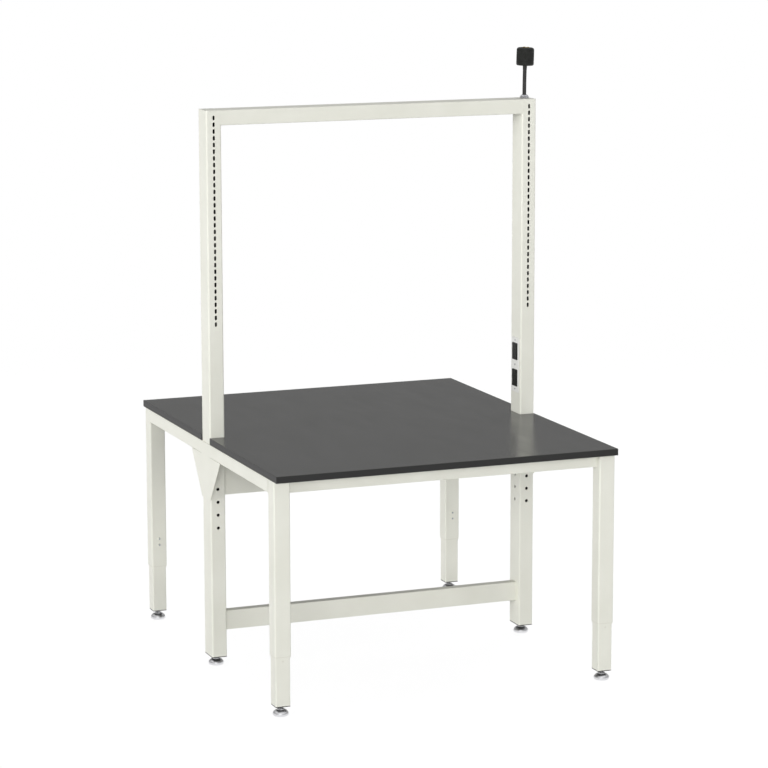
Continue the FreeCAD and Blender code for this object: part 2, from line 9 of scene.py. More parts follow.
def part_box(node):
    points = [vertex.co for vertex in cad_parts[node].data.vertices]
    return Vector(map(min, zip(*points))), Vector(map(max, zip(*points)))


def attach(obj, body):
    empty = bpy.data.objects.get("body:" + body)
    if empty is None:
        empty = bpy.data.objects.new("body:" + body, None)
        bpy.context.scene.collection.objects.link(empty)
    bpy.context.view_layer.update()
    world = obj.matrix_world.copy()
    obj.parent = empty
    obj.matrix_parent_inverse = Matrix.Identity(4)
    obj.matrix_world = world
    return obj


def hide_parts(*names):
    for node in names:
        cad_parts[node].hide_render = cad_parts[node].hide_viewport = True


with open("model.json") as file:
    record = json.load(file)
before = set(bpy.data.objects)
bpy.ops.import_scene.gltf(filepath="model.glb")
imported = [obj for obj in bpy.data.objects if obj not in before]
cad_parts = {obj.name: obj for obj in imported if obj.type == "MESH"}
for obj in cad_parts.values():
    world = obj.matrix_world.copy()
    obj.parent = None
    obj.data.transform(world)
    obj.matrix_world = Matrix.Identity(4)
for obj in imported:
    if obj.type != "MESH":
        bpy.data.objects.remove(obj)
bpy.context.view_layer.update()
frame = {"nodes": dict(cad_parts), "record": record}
nodes = frame["nodes"]
scene = bpy.context.scene

# Lengths are metres.  Every finished object sits at the origin with its place in its mesh.
MM = 0.001
CORNERS = ("front_left", "front_right", "rear_left", "rear_right")
SIDES = ("left", "right")


# Small tools for objects

def put(name, data):
    """Object with its data, in the scene."""
    thing = bpy.data.objects.new(name, data)
    scene.collection.objects.link(thing)
    return thing


def as_built(thing):
    """Plain mesh of an object as its modifiers or its curve make it."""
    return bpy.data.meshes.new_from_object(thing.evaluated_get(bpy.context.evaluated_depsgraph_get()))


# Camera

SENSOR_WIDTH, SIGHT_LIMIT = 36, 500


def look_from(place, heading, tilt, roll, focal_length):
    """Camera at a place; heading turns from +Y towards +X, tilt is downwards, angles in degrees."""
    a, e, t = radians(heading), radians(tilt), radians(roll)
    forward = Vector((sin(a) * cos(e), cos(a) * cos(e), -sin(e)))
    level = Vector((cos(a), -sin(a), 0))
    above = level.cross(forward)
    right = level * cos(t) + above * sin(t)
    up = above * cos(t) - level * sin(t)
    camera = put("camera", bpy.data.cameras.new("camera"))
    camera.data.lens = focal_length
    camera.data.sensor_width = SENSOR_WIDTH
    camera.data.clip_end = SIGHT_LIMIT
    camera.matrix_world = Matrix.Translation(place) @ Matrix((right, up, -forward)).transposed().to_4x4()
    scene.camera = camera


look_from(Vector((-4.2332, -10.8676, 3.1869)), heading=21.537, tilt=10.307, roll=-0.095,
          focal_length=141.78)


# Supply cord: stiff, and short enough to stand on its grip

CORD_RADIUS = 7.5 * MM
GRIP_MOUTH = Vector((650.7, 0, 2178)) * MM
CORD_ROUTE = [Vector(step) * MM for step in ((0, 0, 0), (0, 0, 57), (1.8, 0, 114))]
CORD_END = GRIP_MOUTH + CORD_ROUTE[-1]
CORD_END_DIRECTION = (CORD_ROUTE[-1] - CORD_ROUTE[-2]).normalized()


def cord_curve():
    """The cord as a smooth curve through its route, with a round section."""
    curve = bpy.data.curves.new("supply_flex", "CURVE")
    curve.dimensions = "3D"
    curve.bevel_depth = 1.0
    curve.bevel_resolution = 8
    curve.resolution_u = 24
    curve.use_fill_caps = True
    spline = curve.splines.new("NURBS")
    spline.points.add(len(CORD_ROUTE) - 1)
    for point, step in zip(spline.points, CORD_ROUTE):
        point.co = (*(GRIP_MOUTH + step), 1)
        point.radius = CORD_RADIUS
    spline.order_u = 3
    spline.use_endpoint_u = True
    return put("supply_flex", curve)


supply_flex = cord_curve()


# Small tools for materials

def colour(code):
    """Linear colour with alpha from an sRGB hex value such as E2E2D7."""
    parts = [int(code[i:i + 2], 16) / 255 for i in (0, 2, 4)]
    return [v / 12.92 if v <= 0.04045 else ((v + 0.055) / 1.055) ** 2.4 for v in parts] + [1]


def add(tree, kind, inputs=None, **settings):
    """Adds a node.  An input given as a socket is linked, and any other value is set."""
    node = tree.nodes.new(kind)
    for name, value in settings.items():
        setattr(node, name, value)
    for name, value in (inputs or {}).items():
        if isinstance(value, bpy.types.NodeSocket):
            tree.links.new(value, node.inputs[name])
        else:
            node.inputs[name].default_value = value
    return node


def start_material(name):
    """Empty node material, its tree, and the place on the piece in metres."""
    material = bpy.data.materials.new(name)
    material.use_nodes = True
    tree = material.node_tree
    tree.nodes.clear()
    return material, tree, add(tree, "ShaderNodeTexCoord").outputs["Object"]


def speckle(tree, place, size_mm, detail=2.0, roughness=0.5):
    """Noise whose spots are about as large as the given size."""
    return add(tree, "ShaderNodeTexNoise", {"Vector": place, "Scale": 1 / (size_mm * MM), "Detail": detail,
                                            "Roughness": roughness}).outputs["Fac"]


NOISE_LOW, NOISE_HIGH = 0.3, 0.7  # nearly all of a noise lies between these


def spread(tree, noise, low, high):
    """Number that goes from one value to another with a noise."""
    return add(tree, "ShaderNodeMapRange", {"Value": noise, "From Min": NOISE_LOW, "From Max": NOISE_HIGH,
                                            "To Min": low, "To Max": high}).outputs["Result"]


def blend_colours(tree, noise, low, high):
    """Colour that goes from one hex value to another with a noise."""
    share = spread(tree, noise, 0.0, 1.0)
    mix = add(tree, "ShaderNodeMix", {"Factor": share, 6: colour(low), 7: colour(high)}, data_type="RGBA")
    return mix.outputs[2]


# Materials

def powder_coat():
    """Polyester powder coat, baked on steel: satin, with a fine orange peel of about 2 mm, drawn at
    3 mm so that it shows, and a faint unevenness of film thickness along the tubes."""
    material, tree, place = start_material("polyester_powder_coat")
    peel = speckle(tree, place, 3.0, 1.5)
    film = speckle(tree, place, 160, 3.0)
    bump = add(tree, "ShaderNodeBump", {"Height": peel, "Strength": 0.35, "Distance": 0.08 * MM})
    shader = add(tree, "ShaderNodeBsdfPrincipled",
                 {"Base Color": blend_colours(tree, film, "DFDFD4", "E4E4DA"),
                  "Roughness": spread(tree, peel, 0.36, 0.44), "IOR": 1.5,
                  "Normal": bump.outputs["Normal"]})
    add(tree, "ShaderNodeOutputMaterial", {"Surface": shader.outputs[0]})
    return material


def tube_inside_painted_shade():
    """Steel inside the tubes, where the powder doesn't reach, made near black as painted shade so that the
    slots look dark: blue-black, dull.
    """
    material, tree, place = start_material("tube_inside_painted_shade_steel")
    shader = add(tree, "ShaderNodeBsdfPrincipled",
                 {"Base Color": blend_colours(tree, speckle(tree, place, 12, 4.0), "17171A", "26221F"),
                  "Roughness": 0.7})
    add(tree, "ShaderNodeOutputMaterial", {"Surface": shader.outputs[0]})
    return material


def phenolic_resin():
    """Black phenolic resin slab, pressed and then honed: mineral grain of 1 mm, drawn at 1.6 mm so that it
    shows, a soft gloss that shows the uprights at a low angle, and faint wipe marks in the gloss."""
    material, tree, place = start_material("honed_phenolic_resin")
    grain = speckle(tree, place, 1.6, 3.0, 0.7)
    strokes = add(tree, "ShaderNodeMapping", {"Vector": place, "Scale": (1.0, 0.25, 1.0)}).outputs["Vector"]
    wiped = speckle(tree, strokes, 90, 3.0, 0.6)
    bump = add(tree, "ShaderNodeBump", {"Height": grain, "Strength": 0.12, "Distance": 0.05 * MM})
    shader = add(tree, "ShaderNodeBsdfPrincipled",
                 {"Base Color": blend_colours(tree, grain, "3C3C3A", "434341"),
                  "Roughness": spread(tree, wiped, 0.2, 0.26), "IOR": 1.45,
                  "Normal": bump.outputs["Normal"]})
    add(tree, "ShaderNodeOutputMaterial", {"Surface": shader.outputs[0]})
    return material


def sawn_resin_edge():
    """The same resin where the slab was sawn and eased: its black core, with saw lines 1.5 mm apart."""
    material, tree, place = start_material("sawn_phenolic_edge")
    along = add(tree, "ShaderNodeMapping", {"Vector": place, "Scale": (1.0, 1.0, 0.08)}).outputs["Vector"]
    sawn = speckle(tree, along, 1.5, 3.0, 0.6)
    bump = add(tree, "ShaderNodeBump", {"Height": sawn, "Strength": 0.3, "Distance": 0.08 * MM})
    shader = add(tree, "ShaderNodeBsdfPrincipled",
                 {"Base Color": blend_colours(tree, sawn, "151515", "1F1F1E"),
                  "Roughness": spread(tree, sawn, 0.42, 0.5), "IOR": 1.45,
                  "Normal": bump.outputs["Normal"]})
    add(tree, "ShaderNodeOutputMaterial", {"Surface": shader.outputs[0]})
    return material


def bright_nickel():
    """Turned steel with bright nickel plate: turning rings 0.4 mm apart dull it, so it isn't a mirror."""
    material, tree, place = start_material("bright_nickel_plate")
    around = add(tree, "ShaderNodeMapping", {"Vector": place, "Scale": (20, 20, 2500)}).outputs["Vector"]
    rings = add(tree, "ShaderNodeTexNoise", {"Vector": around, "Scale": 1.0}).outputs["Fac"]
    shader = add(tree, "ShaderNodeBsdfPrincipled",
                 {"Base Color": colour("E2E2E4"), "Metallic": 1.0,
                  "Roughness": spread(tree, rings, 0.36, 0.44)})
    add(tree, "ShaderNodeOutputMaterial", {"Surface": shader.outputs[0]})
    return material


def satin_nickel():
    """Nickel-plated brass of the cord grip: paler than zinc, satin, with soft clouds of 5 mm."""
    material, tree, place = start_material("satin_nickel_plate")
    clouds = speckle(tree, place, 5, 3.0)
    shader = add(tree, "ShaderNodeBsdfPrincipled",
                 {"Base Color": blend_colours(tree, clouds, "C6C6CB", "D0D0D4"), "Metallic": 1.0,
                  "Roughness": spread(tree, clouds, 0.3, 0.4)})
    add(tree, "ShaderNodeOutputMaterial", {"Surface": shader.outputs[0]})
    return material


def zinc_plate():
    """Bright zinc plate on steel screws: slightly blue, with cloudy dulling of 6 mm."""
    material, tree, place = start_material("zinc_plated_steel")
    clouds = speckle(tree, place, 6, 4.0)
    shader = add(tree, "ShaderNodeBsdfPrincipled",
                 {"Base Color": blend_colours(tree, clouds, "A9ACB0", "BDBFC2"), "Metallic": 1.0,
                  "Roughness": spread(tree, clouds, 0.28, 0.42)})
    add(tree, "ShaderNodeOutputMaterial", {"Surface": shader.outputs[0]})
    return material


def moulded_plastic(name, low, high, smoothest, roughest, grain_mm, ior=1.5):
    """Injection-moulded plastic: the mould's spark-eroded grain and a dull, even gloss."""
    material, tree, place = start_material(name)
    grain = speckle(tree, place, grain_mm, 2.0)
    bump = add(tree, "ShaderNodeBump", {"Height": grain, "Strength": 0.25, "Distance": 0.06 * MM})
    shader = add(tree, "ShaderNodeBsdfPrincipled",
                 {"Base Color": blend_colours(tree, grain, low, high), "IOR": ior,
                  "Roughness": spread(tree, grain, smoothest, roughest), "Normal": bump.outputs["Normal"]})
    add(tree, "ShaderNodeOutputMaterial", {"Surface": shader.outputs[0]})
    return material


def cord_jacket():
    """Extruded rubber jacket: matt black with lengthwise draw lines of 0.5 mm, drawn at 1.2 mm so that they
    show."""
    material, tree, place = start_material("rubber_jacket")
    along = add(tree, "ShaderNodeMapping", {"Vector": place, "Scale": (1.0, 1.0, 0.02)}).outputs["Vector"]
    drawn = speckle(tree, along, 1.2, 2.0)
    bump = add(tree, "ShaderNodeBump", {"Height": drawn, "Strength": 0.3, "Distance": 0.08 * MM})
    shader = add(tree, "ShaderNodeBsdfPrincipled",
                 {"Base Color": blend_colours(tree, drawn, "232322", "2C2C2A"), "IOR": 1.5,
                  "Roughness": spread(tree, drawn, 0.5, 0.62), "Normal": bump.outputs["Normal"]})
    add(tree, "ShaderNodeOutputMaterial", {"Surface": shader.outputs[0]})
    return material


def bare_brass():
    """Rolled brass blades: warm yellow metal, with rolling lines 0.6 mm apart along their length."""
    material, tree, place = start_material("rolled_brass")
    along = add(tree, "ShaderNodeMapping", {"Vector": place, "Scale": (1.0, 1.0, 0.05)}).outputs["Vector"]
    lines = speckle(tree, along, 0.6, 2.0)
    shader = add(tree, "ShaderNodeBsdfPrincipled",
                 {"Base Color": blend_colours(tree, lines, "B39A55", "C7AE68"), "Metallic": 1.0,
                  "Roughness": spread(tree, lines, 0.25, 0.4)})
    add(tree, "ShaderNodeOutputMaterial", {"Surface": shader.outputs[0]})
    return material


ivory = powder_coat()
# Near-black inside of the tubes: partly bare steel, partly painted shade that keeps the slots dark
tube_inside_shade = tube_inside_painted_shade()
resin = phenolic_resin()
resin_edge = sawn_resin_edge()
nickel = bright_nickel()
zinc = zinc_plate()
nickel_satin = satin_nickel()
brass = bare_brass()
rubber = cord_jacket()
# Glass-filled nylon of the cord's plug, the sockets' fronts and the threaded end plugs of the legs: near
# black, slightly green in the light
black_nylon = moulded_plastic("black_glass_filled_nylon", "111210", "191A17", 0.44, 0.54, 0.8, 1.4)
# Natural nylon of the tube plugs and leg collars: milky off-white
natural_nylon = moulded_plastic("natural_nylon", "D6D5CA", "DEDDD2", 0.38, 0.46, 1.2)
# Socket cover in white urea, a little cooler than the paint around it
white_urea = moulded_plastic("white_urea_resin", "E0E0DC", "E6E6E2", 0.34, 0.42, 1.0)


# Small tools for shapes.  Outlines are millimetres, meshes are metres.

def new_piece(name, mesh, body, materials=(), replaced=()):
    """Object from a finished mesh: it rides on a body and stands for CAD nodes."""
    piece = put(name, mesh)
    if not mesh.materials:
        for material in materials:
            mesh.materials.append(material)
    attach(piece, body)
    if replaced:
        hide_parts(*replaced)
    return piece


def soften(mesh, smooth_angle):
    """Smooth shading, except where faces meet at more than an angle."""
    for face in mesh.polygons:
        face.use_smooth = True
    mesh.set_sharp_from_angle(angle=radians(smooth_angle))
    return mesh


def filled(work, name):
    """Mesh with what a bmesh holds; the bmesh ends here."""
    mesh = bpy.data.meshes.new(name)
    work.to_mesh(mesh)
    work.free()
    return mesh


def mesh_of(work, name, smooth_angle=35, flat_along=None):
    """Mesh from a bmesh, with its normals turned outwards; faces square to an axis may stay flat."""
    bmesh.ops.remove_doubles(work, verts=work.verts, dist=1e-6)
    bmesh.ops.recalc_face_normals(work, faces=work.faces)
    mesh = soften(filled(work, name), smooth_angle)
    if flat_along is not None:
        for face in mesh.polygons:
            face.use_smooth = abs(face.normal[flat_along]) < 0.999
    return mesh


def rounded(corners, steps=5):
    """Outline of (radius, height, rounding) corners, each turned into a short arc."""
    points = []
    for i, (r, z, rounding) in enumerate(corners):
        here = Vector((r, z))
        if rounding == 0 or i in (0, len(corners) - 1):
            points.append(here)
            continue
        before = (Vector(corners[i - 1][:2]) - here).normalized()
        after = (Vector(corners[i + 1][:2]) - here).normalized()
        start, end = here + before * rounding, here + after * rounding
        for k in range(steps + 1):
            t = k / steps
            points.append(start * (1 - t) ** 2 + here * 2 * t * (1 - t) + end * t ** 2)
    return points


def crowned(start, end, rise, steps):
    """Points from one (radius, height) to another along a shallow arc that rises outwards."""
    a, b = Vector(start), Vector(end)
    outward = Vector((b.y - a.y, a.x - b.x)).normalized() * rise
    return [a.lerp(b, k / steps) + outward * (1 - (2 * k / steps - 1) ** 2) for k in range(steps + 1)]


def turn(work, points, segments=64, radius_at=None):
    """Turns an outline of (radius, height) points around the Z axis; radius_at may shape each ring."""
    rings = []
    for r, z in points:
        if r < 1e-6:
            rings.append([work.verts.new((0, 0, z * MM))])
            continue
        ring = []
        for i in range(segments):
            a = 2 * pi * i / segments
            reach = (radius_at(r, z, a) if radius_at else r) * MM
            ring.append(work.verts.new((reach * cos(a), reach * sin(a), z * MM)))
        rings.append(ring)
    for low, high in zip(rings, rings[1:]):
        for i in range(segments):
            j = (i + 1) % segments
            if len(low) == 1:
                work.faces.new((low[0], high[j], high[i]))
            elif len(high) == 1:
                work.faces.new((low[i], low[j], high[0]))
            else:
                work.faces.new((low[i], low[j], high[j], high[i]))


def hexagon_outline(across_flats, low, high, crown):
    """Outline for turn() of a hexagonal body whose corners are turned down at both ends."""
    past_corner = 0.05  # so that hexagon_reach() alone shapes the corners
    inner, corner = across_flats / 2 - crown, across_flats / 2 / cos(pi / 6) + past_corner
    rise = (corner - inner) * tan(pi / 6)
    lower = [(inner + (corner - inner) * k / 4, low + rise * k / 4) for k in range(5)]
    return lower + [(r, low + high - z) for r, z in reversed(lower)]


def hexagon_reach(across_flats, a):
    """Distance from the axis to a hexagon's side in one direction."""
    return across_flats / 2 / cos(a % (pi / 3) - pi / 6)


def moved(work, matrix):
    """Applies a placement to everything in a bmesh."""
    bmesh.ops.transform(work, matrix=matrix, verts=work.verts)


def facing(place, outward):
    """Placement that turns +Z to a direction and moves the origin to a place."""
    return Matrix.Translation(place) @ outward.to_track_quat("Z", "Y").to_matrix().to_4x4()


def loft(work, rings):
    """Closed body through rings of equally many points, with flat ends."""
    rows = [[work.verts.new(point) for point in ring] for ring in rings]
    for low, high in zip(rows, rows[1:]):
        for i in range(len(low)):
            j = (i + 1) % len(low)
            work.faces.new((low[i], low[j], high[j], high[i]))
    work.faces.new(reversed(rows[0]))
    work.faces.new(rows[-1])


def rounded_rectangle(width, height, corner, middle=(0, 0), steps=5):
    """Outline of a rectangle with round corners, counterclockwise."""
    points = []
    for i, (sx, sy) in enumerate(((1, 1), (-1, 1), (-1, -1), (1, -1))):
        for k in range(steps + 1):
            a = pi / 2 * (i + k / steps)
            points.append((middle[0] + sx * (width / 2 - corner) + corner * cos(a),
                           middle[1] + sy * (height / 2 - corner) + corner * sin(a)))
    return points


def circle(radius, middle=(0, 0), steps=24, flat=None):
    """Outline of a circle, cut off above and below its middle where a flat is given."""
    flat = flat or radius
    angles = [2 * pi * i / steps for i in range(steps)]
    x, y = middle
    return [(x + radius * cos(a), y + max(-flat, min(flat, radius * sin(a)))) for a in angles]


def plate(outline, holes, low, high, bevel):
    """Flat plate with holes between two heights, as a bmesh, with all its face edges bevelled."""
    curve = bpy.data.curves.new("plate", "CURVE")
    curve.dimensions = "2D"
    curve.fill_mode = "BOTH"
    curve.extrude = ((high - low) / 2 - bevel) * MM
    curve.bevel_depth = bevel * MM
    curve.bevel_resolution = 1
    curve.offset = -bevel * MM
    for points in [outline] + [list(reversed(hole)) for hole in holes]:
        spline = curve.splines.new("POLY")
        spline.points.add(len(points) - 1)
        for point, (x, y) in zip(spline.points, points):
            point.co = (x * MM, y * MM, 0, 1)
        spline.use_cyclic_u = True
    holder = put("plate", curve)
    mesh = as_built(holder)
    bpy.data.objects.remove(holder)
    work = bmesh.new()
    work.from_mesh(mesh)
    bmesh.ops.translate(work, verts=work.verts, vec=(0, 0, (low + high) / 2 * MM))
    return work


def join(work, other):
    """Adds one bmesh to another."""
    mesh = filled(other, "part")
    work.from_mesh(mesh)
    bpy.data.meshes.remove(mesh)


def centre_of(node):
    """Middle of a CAD node's box."""
    low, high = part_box(node)
    return (low + high) / 2


# Geometry Nodes: one tree for each thing that repeats or follows a path

SOCKET_KINDS = {float: "NodeSocketFloat", int: "NodeSocketInt", bpy.types.Material: "NodeSocketMaterial",
                bpy.types.Object: "NodeSocketObject"}


def start_tree(name, values):
    """Geometry tree with one named input for each value; gives the tree and its inputs' sockets."""
    tree = bpy.data.node_groups.new(name, "GeometryNodeTree")
    for side in ("INPUT", "OUTPUT"):
        tree.interface.new_socket("Geometry", in_out=side, socket_type="NodeSocketGeometry")
    for key, value in values.items():
        tree.interface.new_socket(key, in_out="INPUT", socket_type=SOCKET_KINDS[type(value)])
    return tree, add(tree, "NodeGroupInput").outputs


def end_tree(tree, geometry, material):
    """Last nodes of every tree."""
    real = add(tree, "GeometryNodeRealizeInstances", {"Geometry": geometry})
    finished = add(tree, "GeometryNodeSetMaterial", {"Geometry": real.outputs[0], "Material": material})
    add(tree, "NodeGroupOutput", {"Geometry": finished.outputs[0]})


def grown(tree, mesh, values, name):
    """Plain mesh that a tree makes from another mesh."""
    seed = put("seed", mesh)
    modifier = seed.modifiers.new("seed", "NODES")
    modifier.node_group = tree
    for item in tree.interface.items_tree:
        if item.in_out == "INPUT" and item.name in values:
            modifier[item.identifier] = values[item.name]
    result = as_built(seed)
    seed.modifiers.clear()
    bpy.data.objects.remove(seed)
    result.name = name
    return result


def thread_tree(values):
    """Screw thread around the Z axis, added to the geometry that comes in."""
    tree, given = start_tree("screw_thread", values)
    stem = add(tree, "GeometryNodeMeshCylinder", {"Vertices": 24, "Side Segments": given["Rings"],
                                                  "Radius": given["Radius"], "Depth": given["Length"]})
    position = add(tree, "GeometryNodeInputPosition").outputs[0]
    place = add(tree, "ShaderNodeSeparateXYZ", {0: position}).outputs
    angle = add(tree, "ShaderNodeMath", {0: place["Y"], 1: place["X"]}, operation="ARCTAN2").outputs[0]
    turned = add(tree, "ShaderNodeMath", {0: angle, 1: 2 * pi}, operation="DIVIDE").outputs[0]
    climbed = add(tree, "ShaderNodeMath", {0: place["Z"], 1: given["Pitch"]}, operation="DIVIDE").outputs[0]
    helix = add(tree, "ShaderNodeMath", {0: climbed, 1: turned}, operation="SUBTRACT").outputs[0]
    wave = add(tree, "ShaderNodeMath", {0: helix, 1: 0.5}, operation="PINGPONG").outputs[0]
    inward = add(tree, "ShaderNodeMath", {0: wave, 1: -2.0}, operation="MULTIPLY").outputs[0]
    depth = add(tree, "ShaderNodeMath", {0: inward, 1: given["Depth"]}, operation="MULTIPLY").outputs[0]
    level = add(tree, "ShaderNodeCombineXYZ", {"X": place["X"], "Y": place["Y"], "Z": 0.0}).outputs[0]
    radial = add(tree, "ShaderNodeVectorMath", {0: level}, operation="NORMALIZE").outputs[0]
    shift = add(tree, "ShaderNodeVectorMath", {0: radial, "Scale": depth}, operation="SCALE").outputs[0]
    cut = add(tree, "GeometryNodeSetPosition", {"Geometry": stem.outputs["Mesh"], "Offset": shift})
    half = add(tree, "ShaderNodeMath", {0: given["Length"], 1: 0.5}, operation="MULTIPLY").outputs[0]
    middle = add(tree, "ShaderNodeMath", {0: given["Start"], 1: half}, operation="ADD").outputs[0]
    lift = add(tree, "ShaderNodeCombineXYZ", {"Z": middle}).outputs[0]
    lifted = add(tree, "GeometryNodeTransform", {"Geometry": cut.outputs[0], "Translation": lift})
    both = add(tree, "GeometryNodeJoinGeometry", {"Geometry": lifted.outputs[0]})
    tree.links.new(given["Geometry"], both.inputs[0])
    end_tree(tree, both.outputs[0], given["Material"])
    return tree


def bead_tree(values):
    """Weld bead with ripples, along the edges of the mesh that comes in."""
    tree, given = start_tree("weld_bead", values)
    path = add(tree, "GeometryNodeMeshToCurve", {"Mesh": given["Geometry"]})
    fine = add(tree, "GeometryNodeResampleCurve", {"Curve": path.outputs[0], "Length": given["Step"]},
               mode="LENGTH")
    run = add(tree, "GeometryNodeSplineParameter").outputs["Length"]
    steps = add(tree, "ShaderNodeMath", {0: run, 1: given["Pitch"]}, operation="DIVIDE").outputs[0]
    ripple = add(tree, "ShaderNodeMath", {0: steps}, operation="FRACT").outputs[0]
    drop = add(tree, "ShaderNodeMath", {0: ripple, 1: given["Ripple"]}, operation="MULTIPLY").outputs[0]
    size = add(tree, "ShaderNodeMath", {0: 1.0, 1: drop}, operation="SUBTRACT").outputs[0]
    section = add(tree, "GeometryNodeCurvePrimitiveCircle", {"Resolution": 8, "Radius": given["Radius"]})
    bead = add(tree, "GeometryNodeCurveToMesh", {
        "Curve": fine.outputs[0], "Profile Curve": section.outputs[0], "Scale": size, "Fill Caps": True})
    end_tree(tree, bead.outputs[0], given["Material"])
    return tree


def fastener_tree(values):
    """A fastener on each point of the mesh that comes in, along its outward direction, turned at random."""
    tree, given = start_tree("fasteners", values)
    outward = add(tree, "GeometryNodeInputNamedAttribute", {"Name": "outward"}, data_type="FLOAT_VECTOR")
    upright = add(tree, "FunctionNodeAlignRotationToVector", {"Vector": outward.outputs[0]}, axis="Z")
    angle = add(tree, "FunctionNodeRandomValue", {3: 2 * pi, "Seed": given["Seed"]}, data_type="FLOAT")
    about_z = add(tree, "ShaderNodeCombineXYZ", {"Z": angle.outputs[1]})
    spin = add(tree, "FunctionNodeEulerToRotation", {0: about_z.outputs[0]})
    turned = add(tree, "FunctionNodeRotateRotation",
                 {"Rotation": upright.outputs[0], "Rotate By": spin.outputs[0]}, rotation_space="LOCAL")
    source = add(tree, "GeometryNodeObjectInfo", {"Object": given["Fastener"]})
    placed = add(tree, "GeometryNodeInstanceOnPoints", {
        "Points": given["Geometry"], "Instance": source.outputs["Geometry"], "Rotation": turned.outputs[0]})
    end_tree(tree, placed.outputs[0], given["Material"])
    return tree


# CAD solids that keep their own mesh get their finish here

FINISHES = {"ivory_paint": ivory, "worktop_resin": resin, "polished_steel": nickel, "zinc_plate": zinc,
            "black_plastic": black_nylon, "cord_rubber": rubber, "pale_nylon": natural_nylon,
            "blade_brass": brass}
slot_of = {part["node"]: part["material_slot"] for part in frame["record"]["subparts"]}
for name, node in nodes.items():
    node.data.materials.clear()
    node.data.materials.append(FINISHES[slot_of[name]])

UPRIGHT_WALL = 3.0 * MM
HONED_SLOPE = 0.3  # the worktop's faces are honed where they look up at least this much


def finish_tube_inside(node, wall, finish):
    """Gives the faces inside a square tube another finish than its outside."""
    low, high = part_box(node)
    middle = (low + high) / 2
    limit = (high - low) / 2 - Vector((wall, wall, 0)) * 0.9  # just outside the bore
    mesh = nodes[node].data
    mesh.materials.append(finish)
    for face in mesh.polygons:
        place, normal = face.center - middle, face.normal
        inside = abs(place.x) < limit.x and abs(place.y) < limit.y
        looks_inward = place.x * normal.x + place.y * normal.y < 0 and abs(normal.z) < 0.5
        if inside and looks_inward:
            face.material_index = 1


# The uprights' insides take the near-black finish, painted shade in their slots
for side in SIDES:
    finish_tube_inside("upright_" + side, UPRIGHT_WALL, tube_inside_shade)

worktop = nodes["worktop"].data
worktop.materials.append(resin_edge)
for face in worktop.polygons:
    if face.normal.z < HONED_SLOPE:
        face.material_index = 1


# Levelling feet

# M12 thread, with six rings of points to each turn
FOOT = {"Radius": 6.0 * MM, "Depth": 0.9 * MM, "Pitch": 1.75 * MM, "Start": 26.9 * MM, "Length": 75.0 * MM,
        "Rings": 258, "Material": nickel}
foot_thread = thread_tree(FOOT)
FOOT_RIM, FOOT_SHOULDER = (27.6, 14.0), (14.9, 23.2)
FOOT_SPANNER, FOOT_DOME_TOP, FOOT_HEXAGON_TOP = 25.0, 23.4, 27.0


def foot_glide():
    """Turned base with a high rounded rim and a domed top, and a thin hexagon for the spanner above it."""
    work = bmesh.new()
    base = rounded([(0, 0, 0), (26.0, 0, 0.8), (29.5, 3.2, 2.0), (29.5, 11.4, 3.0), (*FOOT_RIM, 0)], 8)
    base += crowned(FOOT_RIM, FOOT_SHOULDER, 1.5, 12)[1:]
    base += [(14.5, FOOT_DOME_TOP), (0, FOOT_DOME_TOP)]
    turn(work, base, 72)
    hexagon = hexagon_outline(FOOT_SPANNER, FOOT_DOME_TOP, FOOT_HEXAGON_TOP, 0.5)
    turn(work, [(0, FOOT_SHOULDER[1])] + hexagon + [(0, FOOT_HEXAGON_TOP)], 72,
         lambda r, z, a: min(r, hexagon_reach(FOOT_SPANNER, a)))
    return work


for node in [name for name in nodes if name.startswith("foot_")]:
    glide = mesh_of(foot_glide(), "glide", 25)
    mesh = grown(foot_thread, glide, FOOT, node + "_glide")
    middle = centre_of(node)
    mesh.transform(Matrix.Translation((middle.x, middle.y, 0)))
    new_piece(node + "_glide", soften(mesh, 40), node, replaced=[node])


# Cord grip with its rubber seal

GRIP_FOOT = GRIP_MOUTH - Vector((0, 0, 14)) * MM
GRIP_SPANNER, GRIP_HEXAGON_TOP, GRIP_BORE, GRIP_SHANK_END = 34.0, 7.6, 7.8, -18
GRIP_FLUTES, GRIP_FLUTE_DEPTH = 20, 0.35


def cord_grip():
    """Grip in one turned outline around its bore: shank, hexagon, and a fluted dome nut."""
    outline = [(GRIP_BORE, GRIP_SHANK_END), (12.5, GRIP_SHANK_END), (12.5, 0)]
    outline += hexagon_outline(GRIP_SPANNER, 0, GRIP_HEXAGON_TOP, 0.6)
    outline += rounded([(13.0, GRIP_HEXAGON_TOP, 0), (13.0, 8.3, 0), (15.0, 8.4, 0.4), (14.6, 10.6, 0.8),
                        (10.6, 13.9, 0.9), (9.6, 14.0, 0)])
    outline += [(9.4, 13.4), (GRIP_BORE, 12.6), (GRIP_BORE, GRIP_SHANK_END)]

    def reach(r, z, a):
        if r > 16:
            return min(r, hexagon_reach(GRIP_SPANNER, a))
        return r - GRIP_FLUTE_DEPTH * max(0, cos(GRIP_FLUTES * a)) if 13.5 < r and z > 8 else r

    work = bmesh.new()
    turn(work, outline, 120, reach)
    moved(work, Matrix.Translation(GRIP_FOOT))
    return mesh_of(work, "cable_gland", 28)


def grip_seal():
    """Rubber ring that fills the grip's mouth around the cord."""
    work = bmesh.new()
    turn(work, rounded([(7.5, 12.2, 0), (9.3, 12.4, 0), (9.3, 14.2, 0.4), (8.3, 15.2, 0.5), (7.5, 15.3, 0),
                        (7.5, 12.2, 0)]), 48)
    moved(work, Matrix.Translation(GRIP_FOOT))
    return mesh_of(work, "grip_seal")


new_piece("cable_gland", cord_grip(), "upright_frame", [nickel_satin], ["cord_grip"])
new_piece("grip_seal", grip_seal(), "upright_frame", [rubber])


# Plug on the cord's end

